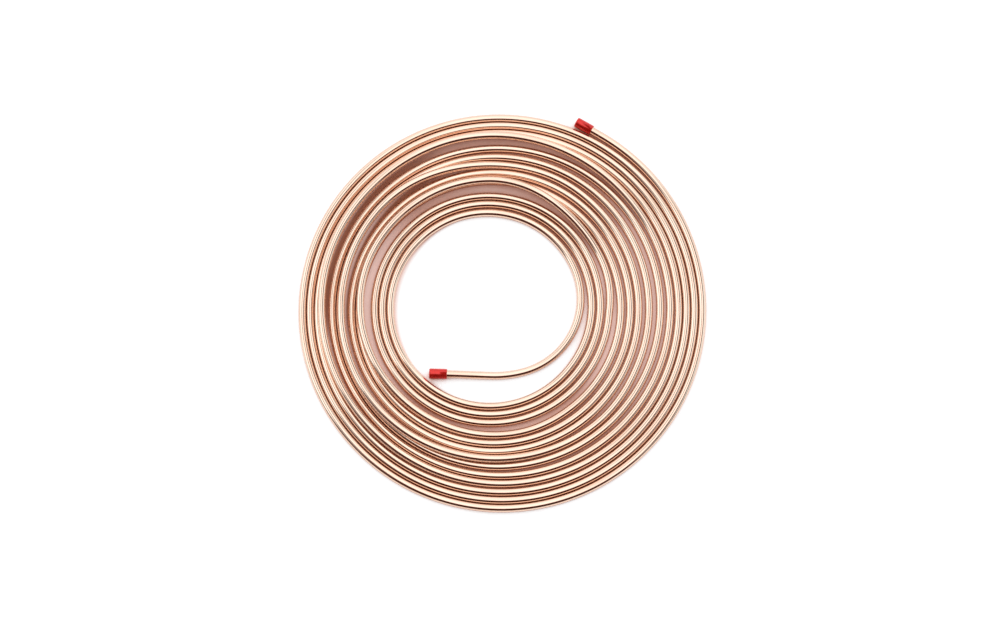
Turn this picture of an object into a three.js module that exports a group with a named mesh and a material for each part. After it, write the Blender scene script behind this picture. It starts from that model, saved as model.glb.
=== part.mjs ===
// A pancake coil of soft copper tube, 3/8 inch outside, about 15 m long, with a push-on cap on each end.
//
// Millimetres, +Z up. The coil lies flat: its first turn is the smallest, and the turns run outward
// counter-clockwise as seen from above. Angles are measured from +X. The coil's box is centred on the
// origin and stands on z = 0.
//
// The winding is one layer of turns that lie side by side on the floor. Three of them have slipped up:
// over part of the way round they lie on top of the turn outside them, because the outer turns were
// pulled across and left no room beside it.
import * as THREE from "three";

// ---- Tube ----
const tubeOutside = 9.52;
const tubeWall = 0.81;
const tubeSides = 8;

// ---- Winding ----
const boreMeanRadius = 116.4; // middle of the bore to the centreline of turn 1, where the turns begin
const turnClearance = 0.14; // between two turns that lie side by side
const startAngle = 30; // where turn 1 takes over from the tail
const endAngle = 60; // how far the last part turn goes before its straight end
const fullTurns = 13;
const stepsPerTurn = 24;

// Room that each turn leaves beyond touching, from turn 1 outward.
const turnSlack = [1.7, 0.4, 1.1, 2.1, 1.2, 0.1, 0, 1, 1.6, 0, 0, 0.2, 0, 0];

// The middle of the winding wanders as the turns were laid: [turns from the start, x, y].
const centreDrift = [
  [0, -11.5, 5.8],
  [3, -9.6, 5.4],
  [4, -7, 2.2],
  [6, -5.2, 2.4],
  [8, 1.2, 3.6],
  [10, 3.5, 2.5],
  [14, 4, 1.7],
];

// Turns that ride up on the next one out: each rolls over it by `roll` degrees, 0 beside it and
// 90 right on top, climbing from `start` to `top` and dropping from `leave` to `end`.
const rideOvers = [
  { turn: 4, start: 25, top: 95, leave: 155, end: 280, roll: 90 },
  { turn: 7, start: 75, top: 140, leave: 205, end: 310, roll: 80 },
  { turn: 10, start: 10, top: 110, leave: 150, end: 285, roll: 72 },
];
const rideApproach = 30; // degrees over which a riding turn first draws near the turn outside it
const rideClearance = 0.3; // between the corners of a riding turn and of the turn below it

// ---- Ends ----
// The tail bends inward from turn 1 and crosses the bore to its other side. Its bends are
// [degrees, radius], the radius as a share of the bore's, and its straight run fills what is left.
const tailBends = [
  [98.3, 0.825],
  [17.2, 1.193],
];
const tailGap = 2.6; // between the nearer edge of the inner cap's end and turn 1
const outerStraight = 35;
const endRiseRun = 60; // length over which an end lifts, so that its cap clears the floor
const outerLeaveAngle = 50; // over which the outer end leaves the turn that it lies against
const bendStep = 10; // most degrees that one straight step of the tail turns through
const straightStep = 15; // about how long the straight steps of an end are

// ---- Caps ----
const capLength = 22;
const capWall = 1.05;
const capEndWall = 1.6;
const capFit = 0.2; // between the tube's corners and the cap's bore
const capSeat = 0.3; // between the tube's cut end and the inside of the cap's end
const capEdge = 1.2; // rounding of the closed end
const capSides = 16;

// ---- Worked out from the sizes above ----
const up = new THREE.Vector3(0, 0, 1);
const degrees = Math.PI / 180;
const nudge = 1e-3; // of a turn or a step: over it a direction is taken, and a shorter step is left out
const tailPasses = 12; // enough for the tail's length to settle
const firstTurn = startAngle / 360;
const lastTurn = fullTurns + endAngle / 360;
const turnPitch = tubeOutside + turnClearance;
const cornerRadius = tubeOutside / 2 / Math.cos(Math.PI / tubeSides);
const capBoreRadius = cornerRadius + capFit;
const capRadius = capBoreRadius + capWall;
const capProud = capRadius - tubeOutside / 2; // by which an end stands off the floor and its neighbour
const rideReach = 2 * cornerRadius + rideClearance;

function smooth(value, from, to) {
  return THREE.MathUtils.smoothstep(value, from, to);
}

// Value of a list of [turn, ...numbers] at any turn, by straight steps between its rows.
function alongTurns(rows, turn, column) {
  const next = rows.findIndex((row) => row[0] > turn);
  if (next < 0) return rows[rows.length - 1][column];
  const [from, to] = [rows[next - 1], rows[next]];
  const share = (turn - from[0]) / (to[0] - from[0]);
  return THREE.MathUtils.lerp(from[column], to[column], share);
}

// The ride-over that a turn makes, if it is one that does.
function rideOf(turn) {
  return rideOvers.find((ride) => ride.turn === Math.floor(turn) + 1);
}

// How far a riding turn has rolled over the one outside it, in radians: up, along the top, down.
function rollOver(turn) {
  const ride = rideOf(turn);
  if (!ride) return 0;
  const angle = (turn % 1) * 360;
  const climb = smooth(angle, ride.start, ride.top);
  const drop = smooth(angle, ride.leave, ride.end);
  return ride.roll * degrees * climb * (1 - drop);
}

// How far a riding turn is drawn to the turn outside it: wholly, from where it leaves the floor.
function drawnShare(turn) {
  const ride = rideOf(turn);
  if (!ride) return 0;
  const angle = (turn % 1) * 360;
  const nearing = smooth(angle, ride.start - rideApproach, ride.start);
  const parting = smooth(angle, ride.end, ride.end + rideApproach);
  return nearing * (1 - parting);
}

// Radius at which a turn was meant to lie, before it is held off its neighbours.
function plannedRadius(turn) {
  const done = Math.floor(turn);
  const slack = turnSlack.slice(0, done).reduce((sum, room) => sum + room, 0);
  const mean = boreMeanRadius + turn * turnPitch + slack + (turn % 1) * (turnSlack[done] ?? 0);
  const angle = turn * 360 * degrees;
  return (
    mean +
    alongTurns(centreDrift, turn, 1) * Math.cos(angle) +
    alongTurns(centreDrift, turn, 2) * Math.sin(angle)
  );
}

// Radius on the floor: a turn lies no nearer to the one inside it than touching. Outside a riding
// turn, it may close in on the turn before that one as far as the riding turn's place allows.
function floorRadius(turn) {
  if (turn < 1) return plannedRadius(turn);
  let nearest = floorRadius(turn - 1) + turnPitch;
  const drawn = drawnShare(turn - 1);
  if (drawn > 0) {
    const across = rideReach * Math.cos(rollOver(turn - 1));
    const pastRider = floorRadius(turn - 2) + turnPitch + across;
    nearest = THREE.MathUtils.lerp(nearest, pastRider, drawn);
  }
  return Math.max(plannedRadius(turn), nearest);
}

// Where the centreline runs at a turn count, with 0 for the height of a tube that lies on the floor.
function windingPoint(turn) {
  const roll = rollOver(turn);
  const drawn = drawnShare(turn);
  const besideNext = floorRadius(turn + 1) - rideReach * Math.cos(roll);
  const leaving = capProud * smooth(turn, lastTurn - outerLeaveAngle / 360, lastTurn);
  const radius = THREE.MathUtils.lerp(floorRadius(turn), besideNext, drawn) + leaving;
  const angle = turn * 360 * degrees;
  const lift = rideReach * Math.sin(roll);
  return new THREE.Vector3(radius * Math.cos(angle), radius * Math.sin(angle), lift);
}

// Level direction in which the winding runs from one turn count to another close to it.
function directionBetween(from, to) {
  return windingPoint(to).sub(windingPoint(from)).setZ(0).normalize();
}

// Room in the bore beyond a point, out to the inner side of turn 1.
function roomToTurnOne(point) {
  const fullTurn = 360 * degrees;
  const angle = THREE.MathUtils.euclideanModulo(Math.atan2(point.y, point.x), fullTurn);
  const wall = windingPoint(angle / fullTurn);
  return Math.hypot(wall.x, wall.y) - tubeOutside / 2 - Math.hypot(point.x, point.y);
}

// Length of the tail's straight run. It starts out as too long, and each pass closes in on the gap
// that the outer edge of the cap's end keeps.
function tailStraight(from, away) {
  const edge = up.clone().cross(away).multiplyScalar(capRadius).add(from);
  let length = 2 * boreMeanRadius;
  for (let pass = 0; pass < tailPasses; pass += 1) {
    length += roomToTurnOne(edge.clone().addScaledVector(away, length)) - tailGap;
  }
  return length;
}

// Points of the tail from turn 1 back to the inner cap, laid as arcs end to end.
function tailPoints() {
  const points = [];
  const at = windingPoint(firstTurn);
  const away = directionBetween(firstTurn + nudge, firstTurn);
  for (const [bend, share] of tailBends) {
    const steps = Math.ceil(bend / bendStep);
    const turned = (bend / steps) * degrees;
    const chord = 2 * share * boreMeanRadius * Math.sin(turned / 2);
    for (let i = 0; i < steps; i += 1) {
      away.applyAxisAngle(up, -turned / 2);
      at.addScaledVector(away, chord);
      away.applyAxisAngle(up, -turned / 2);
      points.push(at.clone());
    }
  }
  return points.concat(straightEnd(at, away, tailStraight(at, away)));
}

// A straight run from a point to where the tube stops in its cap, which ends the whole length.
function straightEnd(from, direction, length) {
  const toMouth = length - capLength;
  const steps = Math.max(1, Math.round(toMouth / straightStep));
  const points = [];
  for (let i = 1; i <= steps; i += 1) {
    points.push(from.clone().addScaledVector(direction, (toMouth * i) / steps));
  }
  points.push(from.clone().addScaledVector(direction, length - capEndWall - capSeat));
  return points;
}

// The whole centreline, from the tube's inner end to its outer end.
function centreline() {
  const steps = Math.ceil((lastTurn - firstTurn) * stepsPerTurn - nudge);
  const winding = [];
  for (let i = 0; i < steps; i += 1) winding.push(windingPoint(firstTurn + i / stepsPerTurn));
  winding.push(windingPoint(lastTurn));
  const leaving = directionBetween(lastTurn - nudge, lastTurn);
  const outerEnd = straightEnd(winding.at(-1), leaving, outerStraight);
  const points = [...tailPoints().reverse(), ...winding, ...outerEnd];
  liftEnds(points);
  return points;
}

// Raises each end of the tube, which its cap holds off the floor and level as far as its mouth, and
// sets the tube on the floor.
function liftEnds(points) {
  for (const line of [points, points.slice().reverse()]) {
    let run = 0;
    line.forEach((point, i) => {
      if (i > 1) run += line[i - 1].distanceTo(point);
      point.z += capProud * (1 - smooth(run, 0, endRiseRun));
    });
  }
  for (const point of points) point.z += tubeOutside / 2;
}

// A path through given points, with one step to each and a section that stands upright.
class UprightPath extends THREE.Curve {
  constructor(points) {
    super();
    this.points = points;
  }
  getPoint(share, target = new THREE.Vector3()) {
    return target.copy(this.points[Math.round(share * (this.points.length - 1))]);
  }
  getUtoTmapping(share) {
    return share;
  }
  computeFrenetFrames() {
    const last = this.points.length - 1;
    const tangents = this.points.map((point, i) => {
      const before = this.points[Math.max(0, i - 1)];
      const after = this.points[Math.min(last, i + 1)];
      const into = point.clone().sub(before).normalize();
      const out = after.clone().sub(point).normalize();
      return into.add(out).normalize();
    });
    const normals = tangents.map((along) => up.clone().cross(along).normalize());
    const binormals = tangents.map((along, i) => along.clone().cross(normals[i]));
    return { tangents, normals, binormals };
  }
}

// An even-sided outline with flats facing down and to the sides, `across` wide between flats.
function evenSided(outline, across, sides) {
  const radius = across / 2 / Math.cos(Math.PI / sides);
  for (let i = 0; i < sides; i += 1) {
    const angle = ((i + 0.5) * 2 * Math.PI) / sides;
    const place = [radius * Math.cos(angle), radius * Math.sin(angle)];
    if (i) outline.lineTo(...place);
    else outline.moveTo(...place);
  }
  outline.closePath();
  return outline;
}

function makeTube(path, material) {
  const section = evenSided(new THREE.Shape(), tubeOutside, tubeSides);
  section.holes.push(evenSided(new THREE.Path(), tubeOutside - 2 * tubeWall, tubeSides));
  const geometry = new THREE.ExtrudeGeometry(section, {
    steps: path.points.length - 1,
    extrudePath: path,
    bevelEnabled: false,
  });
  const tube = new THREE.Mesh(geometry, material);
  tube.name = "copper_tube";
  return tube;
}

// The cap's wall in section, closed on its axis: its mouth is at y = 0 and its closed end at +y.
function capProfile() {
  const floorOfBore = capLength - capEndWall;
  const turning = capEdge * (1 - Math.SQRT1_2);
  return [
    [0, floorOfBore],
    [capBoreRadius, floorOfBore],
    [capBoreRadius, 0],
    [capRadius, 0],
    [capRadius, capLength - capEdge],
    [capRadius - turning, capLength - turning],
    [capRadius - capEdge, capLength],
    [0, capLength],
  ].map(([radius, along]) => new THREE.Vector2(radius, along));
}

// Puts a cap over an end of the tube: `end` is the last point there and `before` the one next to it.
function makeCap(name, end, before, material) {
  const cap = new THREE.Mesh(new THREE.LatheGeometry(capProfile(), capSides), material);
  const along = end.clone().sub(before).normalize();
  const across = up.clone().cross(along).normalize();
  const upright = across.clone().cross(along);
  cap.matrix.makeBasis(across, along, upright);
  const mouth = end.clone().addScaledVector(along, capSeat + capEndWall - capLength);
  cap.quaternion.setFromRotationMatrix(cap.matrix);
  cap.position.copy(mouth);
  cap.name = name;
  return cap;
}

const copper = new THREE.MeshStandardMaterial({ color: 0xc98a68, roughness: 0.22, metalness: 1 });
const redPlastic = new THREE.MeshStandardMaterial({ color: 0xa3180c, roughness: 0.38, metalness: 0 });

const line = centreline();
const coil = new THREE.Group();
coil.add(
  makeTube(new UprightPath(line), copper),
  makeCap("inner_end_cap", line[0], line[1], redPlastic),
  makeCap("outer_end_cap", line.at(-1), line.at(-2), redPlastic),
);

// The middle of the coil's box goes to the origin.
const middle = new THREE.Box3().setFromObject(coil, true).getCenter(new THREE.Vector3());
coil.position.set(-middle.x, -middle.y, 0);

const group = new THREE.Group();
group.name = "copper_tube_coil";
group.add(coil);

export default group;
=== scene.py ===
"""A pancake coil of soft copper tube, with a red push-on cap on each end, flat on a pale floor."""

import math

import bpy
import numpy as np
from bpy.props import FloatProperty, FloatVectorProperty, IntProperty, PointerProperty
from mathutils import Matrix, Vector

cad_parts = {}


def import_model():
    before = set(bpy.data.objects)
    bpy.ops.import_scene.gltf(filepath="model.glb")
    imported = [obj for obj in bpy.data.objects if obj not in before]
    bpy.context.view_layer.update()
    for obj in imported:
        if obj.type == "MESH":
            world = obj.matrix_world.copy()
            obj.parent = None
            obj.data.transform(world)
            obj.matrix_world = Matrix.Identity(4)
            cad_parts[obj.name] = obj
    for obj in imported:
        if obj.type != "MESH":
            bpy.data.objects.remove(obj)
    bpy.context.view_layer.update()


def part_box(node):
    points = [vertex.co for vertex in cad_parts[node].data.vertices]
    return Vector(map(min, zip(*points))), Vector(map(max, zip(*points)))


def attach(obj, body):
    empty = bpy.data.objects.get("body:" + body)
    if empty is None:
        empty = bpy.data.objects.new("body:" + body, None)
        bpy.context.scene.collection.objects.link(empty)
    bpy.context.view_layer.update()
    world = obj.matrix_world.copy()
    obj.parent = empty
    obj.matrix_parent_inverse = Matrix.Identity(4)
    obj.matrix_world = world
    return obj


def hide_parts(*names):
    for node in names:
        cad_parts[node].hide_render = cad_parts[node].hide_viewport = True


bl_info = {
    "name": "Copper Tube Coil",
    "version": (1, 0, 0),
    "blender": (4, 5, 0),
    "location": "View3D > Sidebar > Tube Coil",
    "description": "Winds a pancake coil of soft copper tube and caps its two ends",
    "category": "Object",
}

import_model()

BODY = "root"

# Room that each turn leaves beyond touching, from turn 1 outward, in metres.
TURN_SLACK = (
    0.0017, 0.0004, 0.0011, 0.0021, 0.0012, 0.0001, 0.0,
    0.001, 0.0016, 0.0, 0.0, 0.0002, 0.0, 0.0,
)

# The middle of the winding wanders as the turns are laid: turns from the start, x and y in metres.
CENTRE_DRIFT = (
    (0, -0.0115, 0.0058),
    (3, -0.0096, 0.0054),
    (4, -0.0070, 0.0022),
    (6, -0.0052, 0.0024),
    (8, 0.0012, 0.0036),
    (10, 0.0035, 0.0025),
    (14, 0.0040, 0.0017),
)

# Turns that ride up on the next one out: turn, start, top, leave, end and roll, angles in degrees.
RIDE_OVERS = (
    (4, 25.0, 95.0, 155.0, 280.0, 90.0),
    (7, 75.0, 140.0, 205.0, 310.0, 80.0),
    (10, 10.0, 110.0, 150.0, 285.0, 72.0),
)

# Bends of the tail, inward from turn 1: degrees, and radius as a share of the bore's.
TAIL_BENDS = ((98.3, 0.825), (17.2, 1.193))

FULL_TURN = 2.0 * math.pi
UP = np.array((0.0, 0.0, 1.0))
FRAME_SIDES = 8  # flats on the tube of the frame, whose corners keep the turns apart
HEADING_STEP = 1e-3  # turns between two points that give a heading
BEND_STEP = 2.0  # degrees in each step of a bend, at most
STRAIGHT_STEP = 0.005  # metres in each step of a straight run, or close to it
TAIL_PASSES = 12  # passes that settle the length of the tail's straight run

# Gap recorded in the bore, which no turn comes near, and the widest one recorded on the skin.
BORE_GAP = 1.0
WIDEST_GAP = 0.01

# Caps: bevel of the mouth as a share of the wall, steps round the edge of the closed end, and the
# angle in degrees beyond which an edge is shaded sharp.
LIP_SHARE = 0.3
EDGE_STEPS = 8
SHARP_ANGLE = 50.0

# Layout of the nodes: how many in a row, and the step across and down.
NODES_A_ROW = 8
NODE_STEP = (220, -340)

# Lines that the drawing die leaves: scale and detail of their noise, and strength of their bump.
LINE_NOISE = (26.0, 4.0)
LINE_STRENGTH = 0.6

# Patches that have begun to dull, longer along the tube than round it: scale and detail of their
# noise, and how it is stretched.
PATCH_NOISE = (1.6, 3.0)
PATCH_STRETCH = (0.5, 0.5, 9.0)

# Noise over which a patch takes the dull colour and the most that it takes, noise over which its
# roughness grows, and that roughness, least and most, in shares of the finish's own.
PATCH_TINT = (0.42, 0.72)
PATCH_MOST = 0.6
PATCH_DULL = (0.35, 0.75)
PATCH_ROUGHNESS = (0.85, 1.5)

# Painted shade between turns, deepest where they touch: gap in metres up to which it is strongest,
# and the roughness that the same mask adds.
CONTACT_SHADE_TOUCH = 0.0002
RUB_ROUGHNESS = 0.25

# Clouds in the caps' plastic: scale and detail of their noise, how dark they are, noise over which
# they take their colour and their roughness, and that roughness in shares of the cap's own.
CLOUD_NOISE = (260.0, 2.0)
CLOUD_SHADE = 0.92
CLOUD_TINT = (0.35, 0.7)
CLOUD_DULL = (0.3, 0.7)
CLOUD_ROUGHNESS = (0.85, 1.25)

# Grain of the caps' plastic: scale and detail of its noise, and the strength and the depth in
# metres of its bump.
GRAIN_NOISE = (1600.0, 3.0)
GRAIN_STRENGTH = 0.1
GRAIN_DEPTH = 0.00004

# Floor: width in metres, and samples that tell how clear of the coil a place on it is.
FLOOR_SIZE = 16.0
FLOOR_SAMPLES = 8

# Ring of floor under the turns: middle, half width and soft edge, in metres from the coil's middle.
UNDER_COIL = (0.1875, 0.0575, 0.003)

# How clear of the coil floor has to be to look open, beside the turns and under them, and how clear
# it is where the shade between two turns is shallow. 0 is closed in and 1 is clear.
OPEN_BESIDE = (0.38, 0.60)
OPEN_UNDER = (0.42, 0.95)
SHALLOW = (0.08, 0.42)

# Light on the floor at the two sides of the coil: where it sets in, as a part of a direction, and
# what deep and shallow shade add there to the eye and in the metal.
SIDE_SPAN = (0.6, 0.97)
SIDE_GLOW = ((0.15, 0.085, 0.065), (0.46, 0.36, 0.335))

# Floor where the painted shade is deepest, in two wide gaps at the back on the left: rings of it in
# metres as above, which way they lie, and how near that way they set in.
SHADE_RINGS = ((0.1905, 0.0038, 0.0018), (0.2194, 0.0032, 0.0018))
SHADE_WAY = (-0.87, 0.49, 0.0)
SHADE_SPAN = (0.74, 0.90)

# The light tent is laid out by direction: x to the right, y to the back and z up, from -1 to 1.

# Where its wall turns from the open front to the back.
TENT_WALL = (-0.42, 0.05)

# Where the open front takes a little light from the top, and how much.
TENT_FILL = (-0.8, -0.4)
FILL_LIGHT = 0.10

# How far up the foot of the wall is dim, and the share of light left at its lowest.
TENT_FOOT = (0.05, 0.45)
FOOT_SHARE = 0.45

# How far up the light off the floor reaches, and its brightness below that.
TENT_BOUNCE = (0.2, 0.45)
BOUNCE_LIGHT = 0.24

# Side panels: which way from +X, half width and soft edge round, tilt from overhead and half of its
# span, all in degrees, and brightness.
TENT_PANELS = (
    (-10.0, 29.0, 4.0, 34.0, 29.0, 1.2),
    (163.0, 38.0, 4.0, 34.0, 29.0, 1.6),
)
PANEL_ENDS = 10.0  # soft edge at the upper and lower ends of a panel, in degrees
PANEL_SIDE = 0.02  # how far across the middle a panel takes to set in on its own side

# The tent's top, across and from front to back: middle, half width and soft edge; and its rim.
TENT_TOP = ((0.0, 0.5, 0.15), (0.21, 0.52, 0.1))
TOP_RIM = (0.0, 0.2)

# Dark seams that run from front to back: place across, half width, soft edge and the light left;
# and how far they run: middle, half width and soft edge.
TENT_SEAMS = ((0.57, 0.16, 0.04, 0.12), (-0.3, 0.15, 0.05, 0.25))
SEAM_RUN = (0.02, 0.52, 0.22)

# White of the tent overhead and of its cooler sides, and where it turns from one to the other.
TENT_WHITES = ((0.975, 1.015, 1.05), (0.90, 1.07, 1.17))
TENT_SIDES = (0.35, 0.85)

# Colour of the tent where it is dark, and the brightness over which that gives way to white.
DIM_COLOUR = (1.0, 0.24, 0.06)
TENT_DIM = (0.0, 0.4)

# Camera: width of its sensor in millimetres, what it looks at and how far it sees, in metres.
SENSOR_WIDTH = 36.0
CAMERA_TARGET = (-0.003, -0.0008, 0.005)
CLIP_END = 50.0


class CoilSizes(bpy.types.PropertyGroup):
    """Sizes of the tube and of its winding."""

    tube_outside: FloatProperty(
        name="Tube Outside", description="Outside diameter of the tube",
        default=0.00952, min=0.003, max=0.03, precision=5, unit="LENGTH",
    )
    tube_wall: FloatProperty(
        name="Tube Wall", description="Thickness of the tube's wall",
        default=0.00081, min=0.0003, max=0.003, precision=5, unit="LENGTH",
    )
    bore_radius: FloatProperty(
        name="Bore Radius", description="Middle of the bore to the centreline of turn 1",
        default=0.1164, min=0.05, max=0.3, precision=4, unit="LENGTH",
    )
    turn_clearance: FloatProperty(
        name="Turn Clearance", description="Between two turns that lie side by side",
        default=0.00014, min=0.0, max=0.002, precision=5, unit="LENGTH",
    )
    full_turns: IntProperty(
        name="Full Turns", description="Turns from the first angle to the last part turn",
        default=13, min=11, max=13,
    )
    start_angle: FloatProperty(
        name="Start Angle", description="Where turn 1 takes over from the tail",
        default=math.radians(30.0), subtype="ANGLE",
    )
    end_angle: FloatProperty(
        name="End Angle", description="How far the last part turn goes",
        default=math.radians(60.0), subtype="ANGLE",
    )
    ride_approach: FloatProperty(
        name="Ride Approach", description="Over which a riding turn draws near the turn outside it",
        default=math.radians(30.0), subtype="ANGLE",
    )
    ride_clearance: FloatProperty(
        name="Ride Clearance", description="Between a riding turn and the turn below it",
        default=0.0003, min=0.0, max=0.002, precision=5, unit="LENGTH",
    )
    tail_gap: FloatProperty(
        name="Tail Gap", description="Between the edge of the inner cap's end and turn 1",
        default=0.0026, min=0.0005, max=0.02, precision=4, unit="LENGTH",
    )
    outer_straight: FloatProperty(
        name="Outer Straight", description="Straight length at the outer end of the tube",
        default=0.035, min=0.025, max=0.1, precision=4, unit="LENGTH",
    )
    end_rise: FloatProperty(
        name="End Rise", description="Length over which an end lifts to its cap's height",
        default=0.06, min=0.02, max=0.2, precision=4, unit="LENGTH",
    )
    outer_leave: FloatProperty(
        name="Outer Leave", description="Over which the outer end leaves the turn beside it",
        default=math.radians(50.0), subtype="ANGLE",
    )
    steps: IntProperty(
        name="Steps a Turn", description="Rings of the mesh in each turn",
        default=192, min=48, max=200,
    )
    sides: IntProperty(
        name="Sides", description="Sides of the tube's outer skin", default=24, min=12, max=24,
    )
    bore_sides: IntProperty(
        name="Bore Sides", description="Sides of the tube's bore", default=8, min=8, max=24,
    )


class CapSizes(bpy.types.PropertyGroup):
    """Sizes and colour of the push-on caps."""

    length: FloatProperty(
        name="Length", description="Whole length of a cap",
        default=0.022, min=0.01, max=0.05, precision=4, unit="LENGTH",
    )
    wall: FloatProperty(
        name="Wall", description="Thickness of the wall round the bore",
        default=0.00105, min=0.0005, max=0.003, precision=5, unit="LENGTH",
    )
    end_wall: FloatProperty(
        name="End Wall", description="Thickness of the closed end",
        default=0.0016, min=0.0005, max=0.005, precision=5, unit="LENGTH",
    )
    fit: FloatProperty(
        name="Fit", description="Between the tube of the frame and the cap's bore",
        default=0.0002, min=0.0, max=0.001, precision=5, unit="LENGTH",
    )
    seat: FloatProperty(
        name="Seat", description="Between the tube's cut end and the inside of the cap's end",
        default=0.0003, min=0.0, max=0.003, precision=5, unit="LENGTH",
    )
    edge: FloatProperty(
        name="Edge", description="Rounding of the closed end",
        default=0.0012, min=0.0002, max=0.003, precision=5, unit="LENGTH",
    )
    sides: IntProperty(name="Sides", description="Sides of a cap", default=64, min=16, max=128)
    colour: FloatVectorProperty(
        name="Colour", description="Colour of the plastic",
        default=(0.82, 0.022, 0.014), min=0.0, max=1.0, subtype="COLOR",
    )
    roughness: FloatProperty(
        name="Roughness", description="How dull the plastic is",
        default=0.15, min=0.0, max=1.0, subtype="FACTOR",
    )


class CopperFinish(bpy.types.PropertyGroup):
    """Finish of the copper."""

    colour: FloatVectorProperty(
        name="Colour", description="Colour of clean copper",
        default=(0.94, 0.68, 0.53), min=0.0, max=1.0, subtype="COLOR",
    )
    dull_colour: FloatVectorProperty(
        name="Dull Colour", description="Colour where the copper has begun to dull",
        default=(0.88, 0.57, 0.42), min=0.0, max=1.0, subtype="COLOR",
    )
    roughness: FloatProperty(
        name="Roughness", description="How dull the drawn skin is",
        default=0.09, min=0.0, max=1.0, subtype="FACTOR",
    )
    # Rub colour is painted shade: the copper takes it where one turn lies close against the next.
    contact_shade_colour: FloatVectorProperty(
        name="Rub Colour", description="Colour of the tarnish where one turn lies against the next",
        default=(0.42, 0.12, 0.04), min=0.0, max=1.0, subtype="COLOR",
    )
    contact_shade_reach: FloatProperty(
        name="Rub Reach", description="Gap between turns at which that tarnish ends",
        default=0.0019, min=0.0003, max=0.009, precision=4, unit="LENGTH",
    )
    line_depth: FloatProperty(
        name="Line Depth", description="Depth of the lines that the drawing die leaves",
        default=0.000006, min=0.0, max=0.0001, precision=7, unit="LENGTH",
    )


class StageSettings(bpy.types.PropertyGroup):
    """Floor, light and camera."""

    floor_colour: FloatVectorProperty(
        name="Floor Colour", description="Colour of the floor",
        default=(0.8, 0.8, 0.8), min=0.0, max=1.0, subtype="COLOR",
    )
    seen_colour: FloatVectorProperty(
        name="Seen Colour", description="Colour of the floor to the eye and in the metal",
        default=(0.4, 0.4, 0.4), min=0.0, max=2.0, subtype="COLOR",
    )
    floor_glow: FloatVectorProperty(
        name="Floor Glow", description="What open floor adds to the eye and in the metal",
        default=(0.80, 0.80, 0.80), min=0.0, max=1.0, subtype="COLOR",
    )
    # Blush is painted light and shade: near the coil the floor is darkened, tinted and made to glow
    # copper-coloured, in place of its shadow and the light the tubes reflect onto it.
    bounce_and_shade_glow: FloatVectorProperty(
        name="Blush Glow",
        description="What floor between the turns adds to the eye and in the metal",
        default=(0.22, 0.125, 0.10), min=0.0, max=1.0, subtype="COLOR",
    )
    bounce_and_shade_colour: FloatVectorProperty(
        name="Blush Colour",
        description="Colour that the copper throws on the floor close beside it",
        default=(0.66, 0.34, 0.25), min=0.0, max=2.0, subtype="COLOR",
    )
    shade_colour: FloatVectorProperty(
        name="Shade Colour", description="Colour of the floor deep between the turns",
        default=(0.50, 0.20, 0.12), min=0.0, max=1.0, subtype="COLOR",
    )
    shade_glow: FloatVectorProperty(
        name="Shade Glow",
        description="What floor deep between the turns adds to the eye and in the metal",
        default=(0.06, 0.022, 0.012), min=0.0, max=1.0, subtype="COLOR",
    )
    # Blush reach: how far from the coil the painted shade and bounce light spread.
    painted_shade_reach: FloatProperty(
        name="Blush Reach", description="How far that colour reaches",
        default=0.022, min=0.001, max=0.1, precision=4, unit="LENGTH",
    )
    top_light: FloatProperty(
        name="Top Light", description="Brightness of the tent's top",
        default=1.45, min=0.0, max=3.0,
    )
    back_light: FloatProperty(
        name="Back Light", description="Brightness of the tent's back",
        default=1.1, min=0.0, max=3.0,
    )
    front_light: FloatProperty(
        name="Front Light", description="Brightness of the tent's open front",
        default=0.035, min=0.0, max=3.0,
    )
    elevation: FloatProperty(
        name="Elevation", description="Height of the camera over the floor, as an angle",
        default=math.radians(79.8), subtype="ANGLE",
    )
    distance: FloatProperty(
        name="Distance", description="From the camera to what it looks at",
        default=6.0, min=0.5, max=20.0, unit="LENGTH",
    )
    field_width: FloatProperty(
        name="Field Width", description="Width of what the camera sees at its target",
        default=1.2447, min=0.1, max=5.0, unit="LENGTH",
    )


def smooth(value, start, stop):
    """Smooth step of a value between two ends."""
    share = min(max((value - start) / (stop - start), 0.0), 1.0)
    return share * share * (3.0 - 2.0 * share)


def mix(start, stop, share):
    """A value part of the way from one to another."""
    return start + (stop - start) * share


def unit(vector):
    """A vector at length one."""
    return vector / np.linalg.norm(vector)


def turned(vector, angle):
    """A vector turned about the upright axis."""
    sine, cosine = math.sin(angle), math.cos(angle)
    x, y, z = vector
    return np.array((cosine * x - sine * y, sine * x + cosine * y, z))


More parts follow.
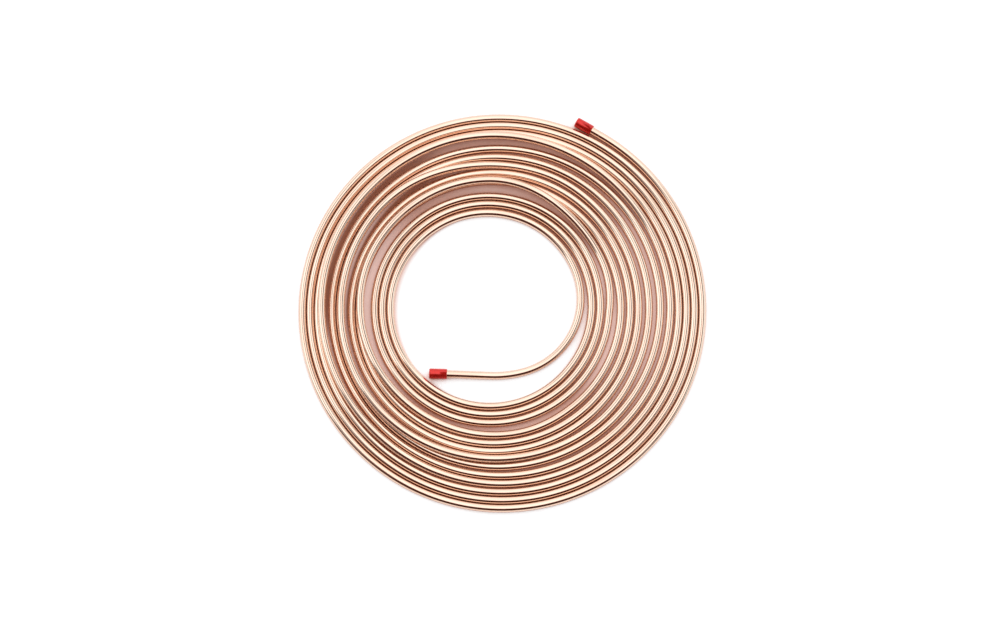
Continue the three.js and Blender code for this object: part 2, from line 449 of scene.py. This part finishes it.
class Winding:
    """Where each turn of the coil runs, about the middle of its bore."""

    def __init__(self, coil, cap):
        self.coil = coil
        self.cap = cap
        self.first = coil.start_angle / FULL_TURN
        self.last = coil.full_turns + coil.end_angle / FULL_TURN
        self.pitch = coil.tube_outside + coil.turn_clearance
        self.corner = coil.tube_outside / 2.0 / math.cos(math.pi / FRAME_SIDES)
        self.reach = 2.0 * self.corner + coil.ride_clearance
        self.cap_radius = self.corner + cap.fit + cap.wall
        self.proud = self.cap_radius - coil.tube_outside / 2.0

    def ride(self, turn):
        """The ride-over that a turn makes, if it is one that does, and the angle round it."""
        for row in RIDE_OVERS:
            if row[0] == math.floor(turn) + 1:
                return row, (turn % 1.0) * 360.0
        return None, 0.0

    def roll(self, turn):
        """How far a riding turn has rolled over the one outside it."""
        row, angle = self.ride(turn)
        if row is None:
            return 0.0
        climb = smooth(angle, row[1], row[2])
        drop = smooth(angle, row[3], row[4])
        return math.radians(row[5]) * climb * (1.0 - drop)

    def drawn(self, turn):
        """How far a riding turn is drawn to the turn outside it."""
        row, angle = self.ride(turn)
        if row is None:
            return 0.0
        approach = math.degrees(self.coil.ride_approach)
        nearing = smooth(angle, row[1] - approach, row[1])
        parting = smooth(angle, row[4], row[4] + approach)
        return nearing * (1.0 - parting)

    def drift(self, turn, column):
        """How far the middle of the winding has wandered."""
        for before, after in zip(CENTRE_DRIFT, CENTRE_DRIFT[1:]):
            if turn < after[0]:
                share = (turn - before[0]) / (after[0] - before[0])
                return mix(before[column], after[column], share)
        return CENTRE_DRIFT[-1][column]

    def planned(self, turn):
        """Radius at which a turn was meant to lie."""
        done = math.floor(turn)
        slack = TURN_SLACK[done] if done < len(TURN_SLACK) else 0.0
        mean = self.coil.bore_radius + turn * self.pitch
        mean += sum(TURN_SLACK[:done]) + (turn % 1.0) * slack
        angle = turn * FULL_TURN
        return mean + self.drift(turn, 1) * math.cos(angle) + self.drift(turn, 2) * math.sin(angle)

    def floor(self, turn):
        """Radius on the floor, where a turn is held off the turns inside it."""
        if turn < 1.0:
            return self.planned(turn)
        nearest = self.floor(turn - 1.0) + self.pitch
        drawn = self.drawn(turn - 1.0)
        if drawn > 0.0:
            across = self.reach * math.cos(self.roll(turn - 1.0))
            nearest = mix(nearest, self.floor(turn - 2.0) + self.pitch + across, drawn)
        return max(self.planned(turn), nearest)

    def point(self, turn):
        """Point of the centreline, with 0 for the height of a tube on the floor."""
        roll = self.roll(turn)
        beside = self.floor(turn + 1.0) - self.reach * math.cos(roll)
        start = self.last - self.coil.outer_leave / FULL_TURN
        radius = mix(self.floor(turn), beside, self.drawn(turn))
        radius += self.proud * smooth(turn, start, self.last)
        angle = turn * FULL_TURN
        lift = self.reach * math.sin(roll)
        return np.array((radius * math.cos(angle), radius * math.sin(angle), lift))

    def heading(self, start, stop):
        """Level direction of the centreline from one turn count to another close to it."""
        way = self.point(stop) - self.point(start)
        way[2] = 0.0
        return unit(way)

    def room(self, point):
        """Room in the bore beyond a point, out to turn 1."""
        angle = math.atan2(point[1], point[0]) % FULL_TURN
        wall = self.point(angle / FULL_TURN)
        outer = math.hypot(wall[0], wall[1]) - self.coil.tube_outside / 2.0
        return outer - math.hypot(point[0], point[1])

    def tail(self):
        """Points of the tail from turn 1 to the mouth of the inner cap, and on into it."""
        at = self.point(self.first)
        way = self.heading(self.first + HEADING_STEP, self.first)
        points = []
        for bend, share in TAIL_BENDS:
            count = math.ceil(bend / BEND_STEP)
            step = math.radians(bend) / count
            chord = 2.0 * share * self.coil.bore_radius * math.sin(step / 2.0)
            for _ in range(count):
                way = turned(way, -step / 2.0)
                at = at + way * chord
                way = turned(way, -step / 2.0)
                points.append(at)
        edge = at + np.cross(UP, way) * self.cap_radius
        length = 2.0 * self.coil.bore_radius
        for _ in range(TAIL_PASSES):
            length += self.room(edge + way * length) - self.coil.tail_gap
        return points + self.straight(at, way, length)

    def straight(self, start, way, length):
        """A straight run to where the tube stops in its cap, which ends the whole length."""
        to_mouth = length - self.cap.length
        count = max(1, round(to_mouth / STRAIGHT_STEP))
        points = [start + way * (to_mouth * i / count) for i in range(1, count + 1)]
        points.append(start + way * (length - self.cap.end_wall - self.cap.seat))
        return points

    def line(self):
        """The whole centreline, from the tube's inner end to its outer end."""
        count = math.ceil((self.last - self.first) * self.coil.steps)
        turns = np.linspace(self.first, self.last, count + 1)
        winding = [self.point(turn) for turn in turns]
        way = self.heading(self.last - HEADING_STEP, self.last)
        outer = self.straight(winding[-1], way, self.coil.outer_straight)
        line = np.array(self.tail()[::-1] + winding + outer)
        self.lift_ends(line)
        line[:, 2] += self.coil.tube_outside / 2.0
        return line

    def lift_ends(self, line):
        """Raises each end to the height at which its cap holds it, level inside the cap."""
        lengths = np.linalg.norm(np.diff(line, axis=0), axis=1)
        rows = range(len(line))
        for order, spans in ((rows, lengths), (rows[::-1], lengths[::-1])):
            run = 0.0
            for step, row in enumerate(order):
                if step > 1:
                    run += spans[step - 1]
                line[row, 2] += self.proud * (1.0 - smooth(run, 0.0, self.coil.end_rise))


def centred_line(winding):
    """The centreline, moved to where the frame holds the tube."""
    line = winding.line()
    radius = winding.coil.tube_outside / 2.0
    low, high = np.array(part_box("copper_tube"))
    middle = (line[:, :2].min(axis=0) + line[:, :2].max(axis=0)) / 2.0
    line[:, :2] += (low[:2] + high[:2]) / 2.0 - middle
    reach = np.abs(line[:, :2] - (low[:2] + high[:2]) / 2.0).max(axis=0) + radius
    room = (high[:2] - low[:2]) / 2.0
    line[:, :2] *= min(1.0, *(room / reach))
    return line


def ring_frames(line):
    """Level and upright directions across the tube at each point of its line."""
    steps = np.diff(line, axis=0)
    steps /= np.linalg.norm(steps, axis=1)[:, None]
    along = np.vstack((steps[:1], steps[:-1] + steps[1:], steps[-1:]))
    along /= np.linalg.norm(along, axis=1)[:, None]
    across = np.cross(UP, along)
    across /= np.linalg.norm(across, axis=1)[:, None]
    return across, np.cross(along, across)


def skin(line, radius, sides):
    """Rings of points round a line."""
    across, upright = ring_frames(line)
    angles = FULL_TURN * (np.arange(sides) + 0.5) / sides
    ring = across[:, None, :] * np.cos(angles)[None, :, None]
    ring = ring + upright[:, None, :] * np.sin(angles)[None, :, None]
    return line[:, None, :] + radius * ring, angles


def turn_gaps(line, points, radius, own=60, turns=6):
    """How far each point of the skin is from the skin of the nearest other turn.

    Points of the line that are fewer than own apart belong together. Of the others, as many of the
    nearest as turns says are tried.
    """
    square = (line ** 2).sum(axis=1)
    apart = square[:, None] + square[None, :] - 2.0 * line @ line.T
    rows = np.arange(len(line))
    apart[np.abs(rows[:, None] - rows[None, :]) < own] = np.inf
    near = np.argpartition(apart, turns, axis=1)[:, :turns]
    gaps = np.full(points.shape[:2], np.inf)
    for pick in near.T:
        for first in (np.clip(pick - 1, 0, len(line) - 2), np.clip(pick, 0, len(line) - 2)):
            start = line[first][:, None, :]
            way = (line[first + 1] - line[first])[:, None, :]
            share = ((points - start) * way).sum(axis=-1) / (way * way).sum(axis=-1)
            foot = start + np.clip(share, 0.0, 1.0)[..., None] * way
            gaps = np.minimum(gaps, np.linalg.norm(points - foot, axis=-1) - radius)
    return gaps


def tube_faces(rings, sides, start, outward):
    """Quads between rings of points, facing out of the tube or into its bore."""
    ring, side = np.meshgrid(np.arange(rings - 1), np.arange(sides), indexing="ij")
    after = (side + 1) % sides
    corners = [ring * sides + side, ring * sides + after]
    corners += [(ring + 1) * sides + after, (ring + 1) * sides + side]
    if not outward:
        corners.reverse()
    return start + np.stack(corners, axis=-1).reshape(-1, 4)


def end_faces(coil, ring, first_inner):
    """Faces of the cut end at a ring of the tube, from the skin to a bore with fewer sides."""
    share = coil.sides // coil.bore_sides
    outer = list(range(ring * coil.sides, (ring + 1) * coil.sides))
    outer = outer[share // 2:] + outer[:share // 2]
    inner = [first_inner + ring * coil.bore_sides + i for i in range(coil.bore_sides)]
    faces = []
    for i, point in enumerate(inner):
        following = inner[(i + 1) % len(inner)]
        arc = [outer[(share * i + k) % len(outer)] for k in range(share + 1)]
        faces.append([point] + arc + [following])
    return faces


def skin_places(line, angles, coil):
    """Where each point of the tube is: which way round, and how far along in metres."""
    lengths = np.linalg.norm(np.diff(line, axis=0), axis=1)
    run = np.concatenate(((0.0,), np.cumsum(lengths)))
    skin_count = len(line) * coil.sides
    places = np.zeros((skin_count + len(line) * coil.bore_sides, 3), dtype=np.float32)
    places[:skin_count, 0] = np.tile(np.cos(angles), len(line))
    places[:skin_count, 1] = np.tile(np.sin(angles), len(line))
    places[:skin_count, 2] = np.repeat(run, coil.sides)
    places[skin_count:, 2] = np.repeat(run, coil.bore_sides)
    return places


def record(piece, name, kind, field, values):
    """Gives each point of a piece a value that its material reads."""
    layer = piece.data.attributes.new(name, kind, "POINT")
    layer.data.foreach_set(field, values)


def mesh_object(name, points, faces, material):
    """A smooth-shaded mesh object in the scene."""
    mesh = bpy.data.meshes.new(name)
    mesh.from_pydata([tuple(point) for point in points], [], [tuple(face) for face in faces])
    mesh.validate()
    mesh.polygons.foreach_set("use_smooth", [True] * len(mesh.polygons))
    mesh.materials.append(material)
    piece = bpy.data.objects.new(name, mesh)
    bpy.context.scene.collection.objects.link(piece)
    return piece


class Graph:
    """The nodes of one material or world, laid out in rows in the order in which they are made."""

    def __init__(self, owner):
        owner.use_nodes = True
        self.nodes = owner.node_tree.nodes
        self.links = owner.node_tree.links
        self.made = 0

    def add(self, kind, inputs=(), **settings):
        """A new node, with its settings, and its inputs linked or set."""
        node = self.nodes.new("ShaderNode" + kind)
        row, column = divmod(self.made, NODES_A_ROW)
        node.location = (NODE_STEP[0] * (column - NODES_A_ROW), NODE_STEP[1] * row)
        self.made += 1
        for name, value in settings.items():
            setattr(node, name, value)
        self.fill(node, dict(inputs))
        return node

    def fill(self, node, inputs):
        """Links each input named to an output, or sets it to a number, a vector or a colour."""
        for name, value in inputs.items():
            socket = node.inputs[name]
            if isinstance(value, bpy.types.NodeSocket):
                self.links.new(value, socket)
            elif socket.type == "RGBA":
                socket.default_value = (*value, 1.0)
            else:
                socket.default_value = value

    def calc(self, operation, first, second=0.0):
        """The result of an operation on one or two values."""
        return self.add("Math", {0: first, 1: second}, operation=operation).outputs["Value"]

    def plus(self, first, second):
        """Two values added."""
        return self.calc("ADD", first, second)

    def times(self, first, second):
        """Two values multiplied."""
        return self.calc("MULTIPLY", first, second)

    def larger(self, first, second):
        """The larger of two values."""
        return self.calc("MAXIMUM", first, second)

    def rest(self, share):
        """What a share leaves of 1."""
        return self.calc("SUBTRACT", 1.0, share)

    def ranged(self, value, span, result=(0.0, 1.0)):
        """A value eased from one span to another, and held at its ends."""
        inputs = dict(zip(("From Min", "From Max", "To Min", "To Max"), (*span, *result)))
        inputs["Value"] = value
        return self.add("MapRange", inputs, interpolation_type="SMOOTHSTEP").outputs["Result"]

    def band(self, value, middle, half, edge):
        """1 inside a band of values and 0 outside, with soft edges."""
        off = self.calc("ABSOLUTE", self.calc("SUBTRACT", value, middle))
        return self.ranged(off, (half - edge, half + edge), (1.0, 0.0))

    def mixed(self, share, first, second):
        """A colour between two."""
        inputs = {"Factor": share, "A": first, "B": second}
        return self.add("Mix", inputs, data_type="RGBA").outputs["Result"]

    def noise(self, place, scale, detail):
        """A noise texture at a place."""
        inputs = {"Vector": place, "Scale": scale, "Detail": detail}
        return self.add("TexNoise", inputs).outputs["Fac"]

    def bump(self, height, strength, depth):
        """The surface's normal with a height laid on it."""
        inputs = {"Height": height, "Strength": strength, "Distance": depth}
        return self.add("Bump", inputs).outputs["Normal"]


def copper_material(finish):
    """Drawn copper: bright, with fine lines along the tube, patches that have begun to dull, and
    painted shade, a little rougher, where turns lie close.
    """
    material = bpy.data.materials.new("drawn_copper")
    graph = Graph(material)
    place = graph.add("Attribute", attribute_name="skin_place").outputs["Vector"]
    gap = graph.add("Attribute", attribute_name="turn_gap").outputs["Fac"]
    stretched = graph.add("Mapping", {"Vector": place, "Scale": PATCH_STRETCH}).outputs["Vector"]
    patches = graph.noise(stretched, *PATCH_NOISE)
    dulled = graph.ranged(patches, PATCH_TINT, (0.0, PATCH_MOST))
    # Painted shade where turns lie close, with a little more roughness there.
    shade_and_rub = graph.ranged(gap, (CONTACT_SHADE_TOUCH, finish.contact_shade_reach), (1.0, 0.0))
    colour = graph.mixed(dulled, finish.colour, finish.dull_colour)
    ends = [share * finish.roughness for share in PATCH_ROUGHNESS]
    roughness = graph.ranged(patches, PATCH_DULL, ends)
    lines = graph.noise(place, *LINE_NOISE)
    graph.fill(graph.nodes["Principled BSDF"], {
        "Base Color": graph.mixed(shade_and_rub, colour, finish.contact_shade_colour),
        "Metallic": 1.0,
        "Roughness": graph.plus(roughness, graph.times(shade_and_rub, RUB_ROUGHNESS)),
        "Normal": graph.bump(lines, LINE_STRENGTH, finish.line_depth),
    })
    return material


def cap_material(cap):
    """Red moulded plastic with a faint grain and slightly uneven colour."""
    material = bpy.data.materials.new("red_plastic")
    graph = Graph(material)
    place = graph.add("TexCoord").outputs["Object"]
    clouds = graph.noise(place, *CLOUD_NOISE)
    clouded = [CLOUD_SHADE * part for part in cap.colour]
    ends = [share * cap.roughness for share in CLOUD_ROUGHNESS]
    grain = graph.noise(place, *GRAIN_NOISE)
    graph.fill(graph.nodes["Principled BSDF"], {
        "Base Color": graph.mixed(graph.ranged(clouds, CLOUD_TINT), cap.colour, clouded),
        "Metallic": 0.45,
        "Roughness": graph.ranged(clouds, CLOUD_DULL, ends),
        "IOR": 1.49,
        "Specular IOR Level": 0.5,
        "Coat Weight": 0.3,
        "Coat Roughness": 0.05,
        "Normal": graph.bump(grain, GRAIN_STRENGTH, GRAIN_DEPTH),
    })
    return material


class COIL_OT_make_tube(bpy.types.Operator):
    """Wind the copper tube from its inner end to its outer end"""

    bl_idname = "coil.make_tube"
    bl_label = "Make Tube"

    def execute(self, context):
        coil = context.scene.coil_sizes
        winding = Winding(coil, context.scene.cap_sizes)
        line = centred_line(winding)
        outer_radius = coil.tube_outside / 2.0
        outer, angles = skin(line, outer_radius, coil.sides)
        inner, _ = skin(line, outer_radius - coil.tube_wall, coil.bore_sides)
        rings = len(line)
        first_inner = rings * coil.sides
        points = np.vstack((outer.reshape(-1, 3), inner.reshape(-1, 3)))
        faces = tube_faces(rings, coil.sides, 0, True).tolist()
        faces += tube_faces(rings, coil.bore_sides, first_inner, False).tolist()
        faces += end_faces(coil, 0, first_inner)
        faces += [face[::-1] for face in end_faces(coil, rings - 1, first_inner)]
        material = copper_material(context.scene.copper_finish)
        piece = mesh_object("coil_tube", points, faces, material)
        places = skin_places(line, angles, coil)
        record(piece, "skin_place", "FLOAT_VECTOR", "vector", places.ravel())
        gaps = np.full(len(points), BORE_GAP, dtype=np.float32)
        gaps[:first_inner] = np.clip(turn_gaps(line, outer, outer_radius).ravel(), 0.0, WIDEST_GAP)
        record(piece, "turn_gap", "FLOAT", "value", gaps)
        if len(piece.data.polygons) < len(faces):
            raise RuntimeError("The tube lost faces while it was made")
        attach(piece, BODY)
        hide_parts("copper_tube")
        return {"FINISHED"}


def cap_profile(winding):
    """The cap's wall in section, as radius and distance from its mouth."""
    cap = winding.cap
    bore = winding.cap_radius - cap.wall
    outer = winding.cap_radius
    inside = cap.length - cap.end_wall
    lip = cap.wall * LIP_SHARE
    profile = [
        (0.0, inside), (bore, inside), (bore, lip),
        (bore + lip, 0.0), (outer - lip, 0.0), (outer, lip),
    ]
    for i in range(EDGE_STEPS + 1):
        angle = math.pi / 2.0 * i / EDGE_STEPS
        profile.append((
            outer - cap.edge * (1.0 - math.cos(angle)),
            cap.length - cap.edge * (1.0 - math.sin(angle)),
        ))
    profile.append((0.0, cap.length))
    return profile


class COIL_OT_make_caps(bpy.types.Operator):
    """Push a red plastic cap over each end of the tube"""

    bl_idname = "coil.make_caps"
    bl_label = "Make Caps"

    def execute(self, context):
        cap = context.scene.cap_sizes
        winding = Winding(context.scene.coil_sizes, cap)
        line = centred_line(winding)
        material = cap_material(cap)
        ends = (
            ("inner_cap", "inner_end_cap", line[0], line[1]),
            ("outer_cap", "outer_end_cap", line[-1], line[-2]),
        )
        for name, node, end, before in ends:
            piece = self.make_cap(name, winding, end, before, material)
            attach(piece, BODY)
            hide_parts(node)
        return {"FINISHED"}

    def make_cap(self, name, winding, end, before, material):
        """Turns the cap's profile about the end of the tube."""
        cap = winding.cap
        along = unit(end - before)
        across = unit(np.cross(UP, along))
        upright = np.cross(along, across)
        mouth = end + along * (cap.seat + cap.end_wall - cap.length)
        profile = cap_profile(winding)
        points = [mouth + along * profile[0][1]]
        for radius, height in profile[1:-1]:
            for i in range(cap.sides):
                angle = FULL_TURN * i / cap.sides
                ray = across * math.cos(angle) + upright * math.sin(angle)
                points.append(mouth + along * height + ray * radius)
        points.append(mouth + along * profile[-1][1])
        last = len(points) - 1
        rings = len(profile) - 2
        faces = []
        for i in range(cap.sides):
            after = (i + 1) % cap.sides
            faces.append((0, 1 + after, 1 + i))
            for ring in range(rings - 1):
                low, high = 1 + ring * cap.sides, 1 + (ring + 1) * cap.sides
                faces.append((low + i, low + after, high + after, high + i))
            top = 1 + (rings - 1) * cap.sides
            faces.append((top + i, top + after, last))
        piece = mesh_object(name, points, faces, material)
        piece.data.set_sharp_from_angle(angle=math.radians(SHARP_ANGLE))
        return piece


def floor_parts(graph):
    """Shares of the floor as the coil lies on it: under the coil, at its sides, and where its
    painted shade is deepest.
    """
    place = graph.add("TexCoord").outputs["Object"]
    reach = graph.add("VectorMath", {0: place}, operation="LENGTH").outputs["Value"]
    heading = graph.add("VectorMath", {0: place}, operation="NORMALIZE").outputs["Vector"]
    split = graph.add("SeparateXYZ", {"Vector": heading})
    sideways = graph.ranged(graph.calc("ABSOLUTE", split.outputs["X"]), SIDE_SPAN)
    toward = graph.add("VectorMath", {0: heading, 1: SHADE_WAY}, operation="DOT_PRODUCT")
    # Two rings of painted shadow on the floor at the back on the left.
    rings = graph.larger(*[graph.band(reach, *ring) for ring in SHADE_RINGS])
    deepest_shade = graph.times(rings, graph.ranged(toward.outputs["Value"], SHADE_SPAN))
    return graph.band(reach, *UNDER_COIL), sideways, deepest_shade


def floor_material(stage):
    """White where the floor is open, with painted shade and painted copper-coloured bounce light
    near and between the turns, and plain to any light it sends on.
    """
    material = bpy.data.materials.new("stage_floor")
    graph = Graph(material)
    graph.nodes.clear()
    path = graph.add("LightPath").outputs
    in_metal = path["Is Glossy Ray"]
    seen = graph.larger(path["Is Camera Ray"], in_metal)
    seen = graph.larger(seen, path["Is Transmission Ray"])
    # How closed in the floor is by the coil, which sets where shade and bounce light are painted.
    near = graph.add("AmbientOcclusion", {"Distance": stage.painted_shade_reach}, samples=FLOOR_SAMPLES)
    clear = near.outputs["AO"]
    under, sideways, deepest_shade = floor_parts(graph)
    under = graph.larger(under, in_metal)
    open_floor = graph.plus(
        graph.times(under, graph.ranged(clear, OPEN_UNDER)),
        graph.times(graph.rest(under), graph.ranged(clear, OPEN_BESIDE)),
    )
    shallow = graph.times(graph.ranged(clear, SHALLOW), graph.rest(in_metal))
    shallow = graph.times(shallow, graph.rest(deepest_shade))
    # Painted shade and painted copper bounce colour near the coil.
    colour = graph.mixed(shallow, stage.shade_colour, stage.bounce_and_shade_colour)
    colour = graph.mixed(open_floor, colour, stage.seen_colour)
    colour = graph.mixed(seen, stage.floor_colour, colour)
    # Painted glow of the shade, the bounce light and the light at the sides.
    glow = graph.mixed(shallow, stage.shade_glow, stage.bounce_and_shade_glow)
    glow = graph.mixed(sideways, glow, graph.mixed(shallow, *SIDE_GLOW))
    glow = graph.mixed(deepest_shade, glow, stage.shade_glow)
    glow = graph.mixed(open_floor, glow, stage.floor_glow)
    matt = graph.add("BsdfDiffuse", {"Color": colour})
    lift = graph.add("Emission", {"Color": glow, "Strength": seen})
    both = graph.add("AddShader", {0: matt.outputs["BSDF"], 1: lift.outputs["Emission"]})
    graph.add("OutputMaterial", {"Surface": both.outputs["Shader"]})
    return material


def stage_floor(stage):
    """A pale floor that looks white to the eye and in the metal, and still takes the shadow, with
    more shade painted near the coil.
    """
    bpy.ops.mesh.primitive_grid_add(x_subdivisions=4, y_subdivisions=4, size=FLOOR_SIZE)
    piece = bpy.context.object
    piece.name = "stage_floor"
    piece.data.materials.append(floor_material(stage))


def tent_wall(graph, stage, y, z):
    """Brightness of the tent's wall: open front, paler back, dim foot and light off the floor."""
    level = graph.ranged(y, TENT_WALL, (stage.front_light, stage.back_light))
    level = graph.plus(level, graph.ranged(y, TENT_FILL, (0.0, FILL_LIGHT)))
    level = graph.times(level, graph.ranged(z, TENT_FOOT, (FOOT_SHARE, 1.0)))
    return graph.plus(level, graph.ranged(z, TENT_BOUNCE, (BOUNCE_LIGHT, 0.0)))


def tent_panel(graph, panel, x, y, tilt):
    """Brightness of one side panel of the tent."""
    way, wide, edge, low, tall, bright = panel
    side = math.copysign(1.0, math.cos(math.radians(way)))
    round_up = graph.calc("ARCTAN2", graph.times(y, side), graph.times(x, side))
    middle = math.radians(way if side > 0 else way - 180.0)
    across = graph.band(round_up, middle, math.radians(wide), math.radians(edge))
    same_side = graph.ranged(x, (0.0, PANEL_SIDE * side))
    upward = graph.band(tilt, math.radians(low), math.radians(tall), math.radians(PANEL_ENDS))
    return graph.times(graph.times(graph.times(across, upward), same_side), bright)


def tent_level(graph, stage, x, y, z):
    """Brightness of the whole tent in each direction."""
    level = tent_wall(graph, stage, y, z)
    tilt = graph.calc("ARCCOSINE", z)
    for panel in TENT_PANELS:
        level = graph.larger(level, tent_panel(graph, panel, x, y, tilt))
    top = graph.times(graph.band(x, *TENT_TOP[0]), graph.band(y, *TENT_TOP[1]))
    top = graph.times(top, graph.ranged(z, TOP_RIM, (0.0, stage.top_light)))
    level = graph.larger(level, top)
    run = graph.band(y, *SEAM_RUN)
    for *slit, left in TENT_SEAMS:
        seam = graph.times(graph.band(x, *slit), run)
        level = graph.times(level, graph.ranged(seam, (0.0, 1.0), (1.0, left)))
    return level


def stage_light(stage):
    """A light tent: bright top and side panels, paler back, and an open front by the camera."""
    world = bpy.data.worlds.new("light_tent")
    bpy.context.scene.world = world
    graph = Graph(world)
    graph.nodes.clear()
    parts = graph.add("SeparateXYZ", {"Vector": graph.add("TexCoord").outputs["Generated"]})
    x, y, z = (parts.outputs[name] for name in "XYZ")
    level = tent_level(graph, stage, x, y, z)
    white = graph.mixed(graph.ranged(graph.calc("ABSOLUTE", x), TENT_SIDES), *TENT_WHITES)
    colour = graph.mixed(graph.ranged(level, TENT_DIM), DIM_COLOUR, white)
    tent = graph.add("Background", {"Color": colour, "Strength": level})
    seen = graph.add("Background", {"Color": (1.0, 1.0, 1.0)})
    to_eye = graph.add("LightPath").outputs["Is Camera Ray"]
    blend = graph.add("MixShader", {
        0: to_eye, 1: tent.outputs["Background"], 2: seen.outputs["Background"],
    })
    graph.add("OutputWorld", {"Surface": blend.outputs["Shader"]})


def stage_camera(stage):
    """A camera high over the front of the coil."""
    data = bpy.data.cameras.new("front_camera")
    camera = bpy.data.objects.new("front_camera", data)
    bpy.context.scene.collection.objects.link(camera)
    data.sensor_width = SENSOR_WIDTH
    data.lens = data.sensor_width * stage.distance / stage.field_width
    data.clip_end = CLIP_END
    lift, back = math.sin(stage.elevation), math.cos(stage.elevation)
    camera.location = np.array(CAMERA_TARGET) + stage.distance * np.array((0.0, -back, lift))
    camera.rotation_euler = (math.pi / 2.0 - stage.elevation, 0.0, 0.0)
    bpy.context.scene.camera = camera


class COIL_OT_make_stage(bpy.types.Operator):
    """Lay the floor, light it and set the camera"""

    bl_idname = "coil.make_stage"
    bl_label = "Make Stage"

    def execute(self, context):
        stage = context.scene.stage_settings
        stage_floor(stage)
        stage_light(stage)
        stage_camera(stage)
        context.scene.view_settings.view_transform = "Standard"
        return {"FINISHED"}


class COIL_PT_panel(bpy.types.Panel):
    """Sizes, finishes and makers of the coil"""

    bl_idname = "COIL_PT_panel"
    bl_label = "Tube Coil"
    bl_space_type = "VIEW_3D"
    bl_region_type = "UI"
    bl_category = "Tube Coil"

    def draw(self, context):
        for title, name, operator in (
            ("Tube", "coil_sizes", COIL_OT_make_tube.bl_idname),
            ("Copper", "copper_finish", None),
            ("Caps", "cap_sizes", COIL_OT_make_caps.bl_idname),
            ("Stage", "stage_settings", COIL_OT_make_stage.bl_idname),
        ):
            box = self.layout.box()
            box.label(text=title)
            group = getattr(context.scene, name)
            for key in group.__annotations__:
                box.prop(group, key)
            if operator:
                box.operator(operator)


GROUPS = {
    "coil_sizes": CoilSizes,
    "cap_sizes": CapSizes,
    "copper_finish": CopperFinish,
    "stage_settings": StageSettings,
}
CLASSES = (
    *GROUPS.values(),
    COIL_OT_make_tube,
    COIL_OT_make_caps,
    COIL_OT_make_stage,
    COIL_PT_panel,
)


def register():
    """Register every class and hang the settings on the scene."""
    for each in CLASSES:
        bpy.utils.register_class(each)
    for name, group in GROUPS.items():
        setattr(bpy.types.Scene, name, PointerProperty(type=group))


def unregister():
    """Undo what register did."""
    for name in GROUPS:
        delattr(bpy.types.Scene, name)
    for each in reversed(CLASSES):
        bpy.utils.unregister_class(each)


def main():
    """Make the coil and its stage."""
    register()
    bpy.ops.coil.make_tube()
    bpy.ops.coil.make_caps()
    bpy.ops.coil.make_stage()


if __name__ == "__main__":
    main()
